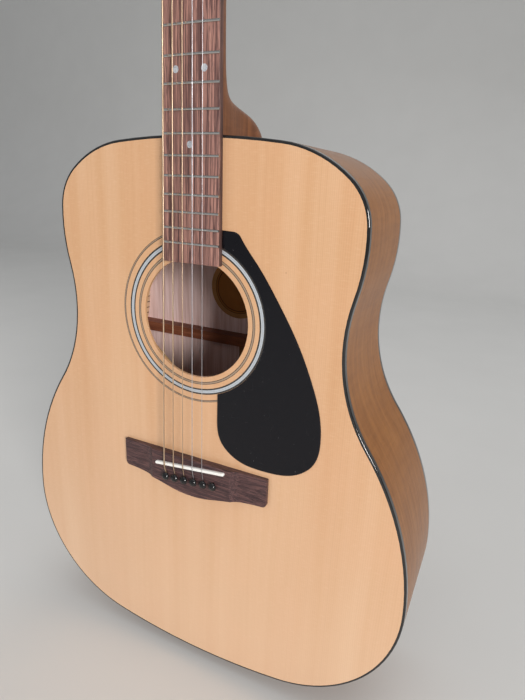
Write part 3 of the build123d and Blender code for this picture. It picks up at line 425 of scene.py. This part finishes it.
def plain_plastic(name, colour, worn_colour, rough, wave=0.01, **constants):
    """Moulded or polished plastic with faint mottling and hairlines."""
    plastic = Finish(name, **constants)
    mottle = plastic.noise((6, 6, 6), detail=3.0)
    hairs = plastic.scratches(14, 0.08, 0.45)
    plastic.set("colour", plastic.mix(plastic.span(mottle, 0.4, 0.8, 0.0, 0.5), colour, worn_colour))
    film = plastic.span(mottle, 0.3, 0.7, rough, rough * 1.6)
    plastic.set("rough", plastic.calc("MULTIPLY_ADD", hairs, 0.2, film))
    plastic.bump(plastic.calc("MULTIPLY_ADD", hairs, -0.6, mottle), wave)
    return plastic.material


def metal(name, colour, tarnish, rough, brush=None, tarnish_share=0.35):
    """Plated or plain metal with fingerprints, tarnish and fine brushing."""
    plate = Finish(name, metal=1.0)
    film = plate.noise((9, 9, 9), detail=4.0, rough=0.6)
    fine = plate.noise(brush or (1.2, 1.2, 1.2), detail=2.0)
    plate.set("colour", plate.mix(plate.span(film, 0.45, 0.8, 0.0, tarnish_share), colour, tarnish))
    smear = plate.span(film, 0.4, 0.8, rough * 0.6, rough * 1.3)
    plate.set("rough", plate.calc("MULTIPLY_ADD", fine, rough * 0.8, smear))
    plate.bump(fine, 0.006)
    return plate.material


ROSETTE_INNER = 55.0
ROSETTE_OUTER = 76.0


def rosette_inlay():
    """Black, silver-white and grey lines let in round the soundhole."""
    rings = Finish("rosette_inlay", coat=1.0, coat_rough=0.05)
    black, grey = tone(22, 20, 20), tone(158, 134, 110)
    silver, white = tone(140, 148, 156), tone(188, 195, 201)
    lines = [
        (ROSETTE_INNER, black), (56.7, grey), (58.1, black), (63.9, white), (65.1, silver),
        (65.4, white), (66.5, black), (73.7, grey), (74.6, black),
    ]
    share = rings.span(rings.radius(HOLE), ROSETTE_INNER, ROSETTE_OUTER)
    width = ROSETTE_OUTER - ROSETTE_INNER
    stops = [((radius - ROSETTE_INNER) / width, colour) for radius, colour in lines]
    mottle = rings.noise((1.2, 1.2, 1.2), detail=2.0)
    colour = rings.mix(rings.span(mottle, 0.4, 0.8, 0.0, 0.25), rings.ramp(share, stops, step=True), grey)
    rings.set("colour", colour)
    rings.set("rough", rings.span(mottle, 0.3, 0.7, 0.3, 0.45))
    return rings.material


LABEL_EDGE = 32.0


def label_paper():
    """Blank tan paper with plain printed rings."""
    paper = Finish("label_paper", specular=0.2)
    radius = paper.radius(middle("label"))
    tan, ring, rim = tone(160, 104, 52), tone(62, 36, 24), tone(184, 134, 82)
    printed = [(0.0, tan), (23.0, ring), (23.7, tan), (25.5, ring), (26.0, rim)]
    stops = [(at / LABEL_EDGE, colour) for at, colour in printed]
    colour = paper.ramp(paper.span(radius, 0.0, LABEL_EDGE), stops, step=True)
    fibre = paper.noise((1.5, 1.5, 1.5), detail=4.0, rough=0.7)
    stain = paper.noise((18, 18, 18), detail=3.0)
    colour = paper.mix(paper.span(fibre, 0.4, 0.8, 0.0, 0.3), colour, tone(140, 96, 50))
    colour = paper.mix(paper.span(stain, 0.5, 0.8, 0.0, 0.35), colour, tone(120, 78, 40))
    paper.set("colour", colour)
    paper.set("rough", paper.span(fibre, 0.3, 0.7, 0.75, 0.95))
    paper.bump(fibre, 0.05)
    return paper.material


def pearl():
    """Pale grey pearl with a cloudy shimmer."""
    dot = Finish("pearl_dot", coat=0.6, coat_rough=0.1)
    cloud = dot.noise((1.6, 1.6, 2.4), detail=3.0, distort=1.2)
    shades = [(0.3, tone(150, 156, 164)), (0.55, tone(182, 186, 192)), (0.75, tone(206, 202, 198))]
    dot.set("colour", dot.ramp(cloud, shades))
    dot.set("rough", dot.span(cloud, 0.3, 0.7, 0.2, 0.4))
    return dot.material


def wound_metal(name, colour, tarnish_and_wrap_shade, pitch):
    """String metal; where it is wound, the wrap shows as fine ridges along it, striped with painted shade."""
    wrap = Finish(name, metal=1.0)
    _, _, z = wrap.axes()
    turn = wrap.calc("MULTIPLY", z, 2 * math.pi / pitch)
    ridge = wrap.calc("MULTIPLY_ADD", wrap.calc("SINE", turn), 0.5, 0.5)
    film = wrap.noise((3, 3, 25), detail=3.0)
    colour_here = wrap.mix(wrap.span(film, 0.4, 0.75, 0.0, 0.5), colour, tarnish_and_wrap_shade)
    # Painted shade: the wraps are striped darker with the tarnish colour.
    wrap.set("colour", wrap.mix(wrap.calc("MULTIPLY", ridge, 0.25), colour_here, tarnish_and_wrap_shade))
    wrap.set("rough", wrap.span(film, 0.3, 0.7, 0.32, 0.48))
    wrap.bump(ridge, 0.02)
    return wrap.material


def floor_paint():
    """Pale matt studio floor."""
    paint = Finish("studio_floor", specular=0.2)
    mottle = paint.noise((200, 200, 200), detail=2.0)
    paint.set("colour", paint.mix(mottle, tone(226, 225, 222), tone(220, 219, 216)))
    paint.set("rough", paint.span(mottle, 0.3, 0.7, 0.75, 0.85))
    return paint.material


def finishes():
    """Material of each of the record's slots, and of the nodes whose grain runs another way."""
    black, soft_black = tone(18, 18, 19), tone(40, 38, 38)
    chrome = metal("tuner_chrome", tone(214, 214, 216), tone(150, 146, 140), 0.12)
    steel = metal("rod_steel", tone(150, 150, 152), tone(96, 84, 74), 0.32)
    linings = lining_wood()
    inside = inner_wood("inner_wood", ALONG_X, tone(150, 92, 66), tone(106, 60, 42))
    by_slot = {
        "spruce": spruce(),
        "rosette_inlay": rosette_inlay(),
        "black_gloss_plastic": plain_plastic("gloss_black", black, soft_black, 0.09),
        "black_binding": plain_plastic("binding_black", tone(14, 14, 15), soft_black, 0.08, coat=0.5),
        "rim_mahogany": rim_wood("rim_mahogany", ROUND_RIMS),
        "inner_wood": inside,
        "brace_spruce": inner_wood("brace_spruce", ALONG_X, tone(205, 170, 122), tone(176, 136, 88)),
        "neck_mahogany": neck_wood(),
        "head_veneer": plain_plastic("head_black", tone(20, 18, 18), tone(38, 34, 33), 0.1, coat=1.0),
        # The fingerboard's last number darkens its sides as painted shade.
        "rosewood": rosewood(
            "fingerboard_wood", BOARD_GRAIN, tone(186, 138, 124), tone(88, 60, 58), 0.36, 0.56, 0.45
        ),
        "fret_nickel": metal("fret_nickel", tone(206, 204, 200), tone(140, 132, 120), 0.12, brush=(9, 2, 2)),
        "pearl_dot": pearl(),
        "ivory_plastic": plain_plastic(
            "ivory_white", tone(250, 249, 244), tone(240, 236, 226), 0.2, coat=0.3
        ),
        "rod_steel": steel,
        "tuner_chrome": chrome,
        "string_bronze": wound_metal("string_bronze", tone(222, 196, 166), tone(158, 128, 100), 0.45),
        "string_steel": wound_metal("string_steel", tone(222, 222, 226), tone(170, 170, 174), 6.0),
        "paper_label": label_paper(),
    }
    by_node = {
        "pickguard": pickguard_plastic(),
        "back_plate": rim_wood("back_mahogany", ALONG_Z),
        "bridge": rosewood("bridge_wood", ALONG_X, tone(112, 80, 77), tone(50, 36, 40), 0.3, 0.5),
        "bridge_plate": rosewood("plate_wood", ALONG_X, tone(130, 86, 70), tone(80, 52, 44), 0.5, 0.7),
        "top_linings": linings,
        "back_linings": linings,
        "back_centre_strip": inner_wood("strip_wood", ALONG_X, tone(170, 128, 90), tone(140, 100, 66)),
    }
    return by_slot, by_node


def dress_frame():
    """Give every CAD node its finish, and return the finishes by slot."""
    by_slot, by_node = finishes()
    for part in frame["record"]["subparts"]:
        node = frame["nodes"][part["node"]]
        material = by_node.get(part["node"], by_slot[part["material_slot"]])
        if not node.material_slots:
            node.data.materials.append(material)
        for slot in node.material_slots:
            slot.material = material
    return by_slot


# ---- Strings, which replace the plain CAD ones ----
GAUGES = [1.35 * MM, 1.07 * MM, 0.81 * MM, 0.61 * MM, 0.41 * MM]
TURNS = [2.6, 2.8, 3.4, 4.2, 5.2]
SLOT_OFFSET = 3.2 * MM
SADDLE_SLOPE = math.tan(math.radians(6.1))
CAMBER = 400 * MM
NUT_SPACING = 7.15 * MM
NUT_RISE = 7.45 * MM
HEAD_TILT = math.radians(14)
HEAD_START = Vector((0, FACE_Y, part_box("nut")[1].z))
HEAD_UP = Vector((0, math.sin(HEAD_TILT), math.cos(HEAD_TILT)))
HEAD_OUT = Vector((0, -math.cos(HEAD_TILT), math.sin(HEAD_TILT)))
SIDES = [-1, -1, -1, 1, 1, 1]
REACHES = [42 * MM, 83 * MM, 124 * MM, 124 * MM, 83 * MM, 42 * MM]
WINDING_HEIGHT = 9.0 * MM
WINDING_STEPS = 24
WINDING_PITCH = 1.04
POST_WAIST = 2.56 * MM
START_DEPTH = 4 * MM
SLOT_RISE = 0.8 * MM
SADDLE_GAP = 0.2 * MM
NUT_BREAK = 1.5 * MM
BEND_RADII = [1.6 * MM, 2.5 * MM, 4 * MM]
BEND_STEPS = 6
STRAIGHT = math.radians(89.5)
TAIL_OUT = 1.2 * MM
TAIL_UP = 1.6 * MM


def on_head(x, reach, rise):
    """Place over the headstock's face."""
    return HEAD_START + Vector((x, 0, 0)) + HEAD_UP * reach + HEAD_OUT * rise


def rounded(points, radii):
    """The same path with each inner corner turned into a short arc."""
    path = [points[0]]
    for before, corner, after, radius in zip(points, points[1:], points[2:], radii):
        back = (before - corner).normalized()
        ahead = (after - corner).normalized()
        half = back.angle(ahead) / 2
        if half > STRAIGHT:
            path.append(corner)
            continue
        reach = radius / math.tan(half)
        centre = corner + (back + ahead).normalized() * (radius / math.sin(half))
        start = (corner + back * reach - centre).normalized()
        end = (corner + ahead * reach - centre).normalized()
        for step in range(BEND_STEPS + 1):
            path.append(centre + start.slerp(end, step / BEND_STEPS) * radius)
    return path + [points[-1]]


def string_path(index):
    """A string's line: up out of its slot, over the saddle and nut, and round its post."""
    pitch, radius, side = PITCHES[index], GAUGES[index] / 2, SIDES[index]
    pin = middle(f"bridge_pin_{pitch}")
    saddle_front, nut_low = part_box("saddle")[0].y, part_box("nut")[0].z
    nut_x = NUT_SPACING * (index - (len(PITCHES) - 1) / 2)
    drop = CAMBER - math.sqrt(CAMBER**2 - nut_x**2)
    slot_z = pin.z + SLOT_OFFSET
    saddle_z = middle("saddle").z + pin.x * SADDLE_SLOPE
    post_x = middle(f"tuner_post_{pitch}").x
    wind = POST_WAIST + radius
    reach = REACHES[index]
    arrive = on_head(post_x - side * wind, reach, WINDING_HEIGHT)
    corners = [
        Vector((pin.x, FACE_Y + START_DEPTH, slot_z)),
        Vector((pin.x, BRIDGE_FRONT - SLOT_RISE, slot_z)),
        Vector((pin.x, saddle_front - SADDLE_GAP - radius, saddle_z)),
        Vector((nut_x, FACE_Y - NUT_RISE + drop - radius, nut_low + NUT_BREAK)),
        arrive,
    ]
    path = rounded(corners, BEND_RADII)
    steps = int(TURNS[index] * WINDING_STEPS)
    for step in range(1, steps + 1):
        angle = (math.pi if side > 0 else 0.0) - side * math.tau * step / WINDING_STEPS
        sink = GAUGES[index] * WINDING_PITCH * step / WINDING_STEPS
        x, up = wind * math.cos(angle), wind * math.sin(angle)
        path.append(on_head(post_x + x, reach + up, WINDING_HEIGHT - sink))
    tail = (path[-1] - path[-2]).normalized()
    path.append(path[-1] + tail * TAIL_OUT)
    path.append(path[-1] + (tail + HEAD_OUT * 0.5).normalized() * TAIL_UP)
    return path


def add_string(index, slots):
    """One string as a round wire along its path."""
    name = f"string_{PITCHES[index]}"
    slot = "string_steel" if PITCHES[index] in ("g", "b") else "string_bronze"
    path = string_path(index)
    data = bpy.data.curves.new(name + "_wire", "CURVE")
    data.dimensions = "3D"
    data.bevel_depth = GAUGES[index] / 2
    data.bevel_resolution = 3
    data.use_fill_caps = True
    line = data.splines.new("POLY")
    line.points.add(len(path) - 1)
    for point, place in zip(line.points, path):
        point.co = (*place, 1.0)
    data.materials.append(slots[slot])
    wire = bpy.data.objects.new(name + "_wire", data)
    bpy.context.scene.collection.objects.link(wire)
    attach(wire, "root")
    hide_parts(name)


# ---- Stage: floor, wall and lights ----
FLOOR_SIZE = 18.0
WALL_TOP = 6.0
SWEEP_RADIUS = 1.2
SWEEP_BACK = 2.2
SWEEP_STEPS = 24


def add_stage():
    """A pale floor that sweeps up into a backdrop behind the guitar."""
    profile = [(-FLOOR_SIZE, 0.0), (SWEEP_BACK, 0.0)]
    for step in range(1, SWEEP_STEPS + 1):
        angle = math.radians(90 * step / SWEEP_STEPS)
        out, up = SWEEP_RADIUS * math.sin(angle), SWEEP_RADIUS * (1 - math.cos(angle))
        profile.append((SWEEP_BACK + out, up))
    profile.append((SWEEP_BACK + SWEEP_RADIUS, WALL_TOP))
    vertices, faces = [], []
    for y, z in profile:
        vertices += [(-FLOOR_SIZE, y, z), (FLOOR_SIZE, y, z)]
    for row in range(len(profile) - 1):
        faces.append((2 * row, 2 * row + 1, 2 * row + 3, 2 * row + 2))
    mesh = bpy.data.meshes.new("studio_floor")
    mesh.from_pydata(vertices, [], faces)
    mesh.materials.append(floor_paint())
    mesh.shade_smooth()
    floor = bpy.data.objects.new("studio_floor", mesh)
    bpy.context.scene.collection.objects.link(floor)


LIT_PLACE = Vector((0.0, 0.0, 0.45))
SKY = (0.93, 0.96, 1.0)
SKY_STRENGTH = 0.35
WHITE = (1.0, 1.0, 1.0)
DAYLIGHT = (1.0, 0.97, 0.95)
FILL_LIGHT = (1.0, 0.98, 0.97)
WINDOW_BEAM = math.radians(90.0)


def add_light(name, place, size, watts, colour=WHITE, mirrored=True, beam=math.pi):
    """A square soft box aimed at the guitar's body, with the angle of its beam.

    Gloss shows it only if it is mirrored.
    """
    data = bpy.data.lights.new(name, "AREA")
    data.shape = "SQUARE"
    data.size = size
    data.energy = watts
    data.color = colour
    data.spread = beam
    light = bpy.data.objects.new(name, data)
    light.location = place
    light.visible_glossy = mirrored
    light.rotation_euler = (LIT_PLACE - Vector(place)).to_track_quat("-Z", "Y").to_euler()
    bpy.context.scene.collection.objects.link(light)


def add_lights():
    """Window light from the treble side, with soft light from the other sides and the sky."""
    world = bpy.data.worlds.new("studio")
    world.use_nodes = True
    background = world.node_tree.nodes["Background"]
    background.inputs["Color"].default_value = (*SKY, 1.0)
    background.inputs["Strength"].default_value = SKY_STRENGTH
    bpy.context.scene.world = world
    add_light("window", (2.35, -2.1, 0.95), 0.76, 20.5, DAYLIGHT, beam=WINDOW_BEAM)
    add_light("fill", (-1.9, -1.6, 1.3), 2.0, 11, FILL_LIGHT, mirrored=False)
    add_light("top", (0.2, -0.3, 2.6), 2.0, 11)
    add_light("behind", (0.4, 2.2, 2.4), 2.0, 11)


add_camera()
add_stage()
add_lights()
slot_finish = dress_frame()
for string in range(len(GAUGES)):
    add_string(string, slot_finish)
bpy.context.scene.view_settings.view_transform = "Standard"
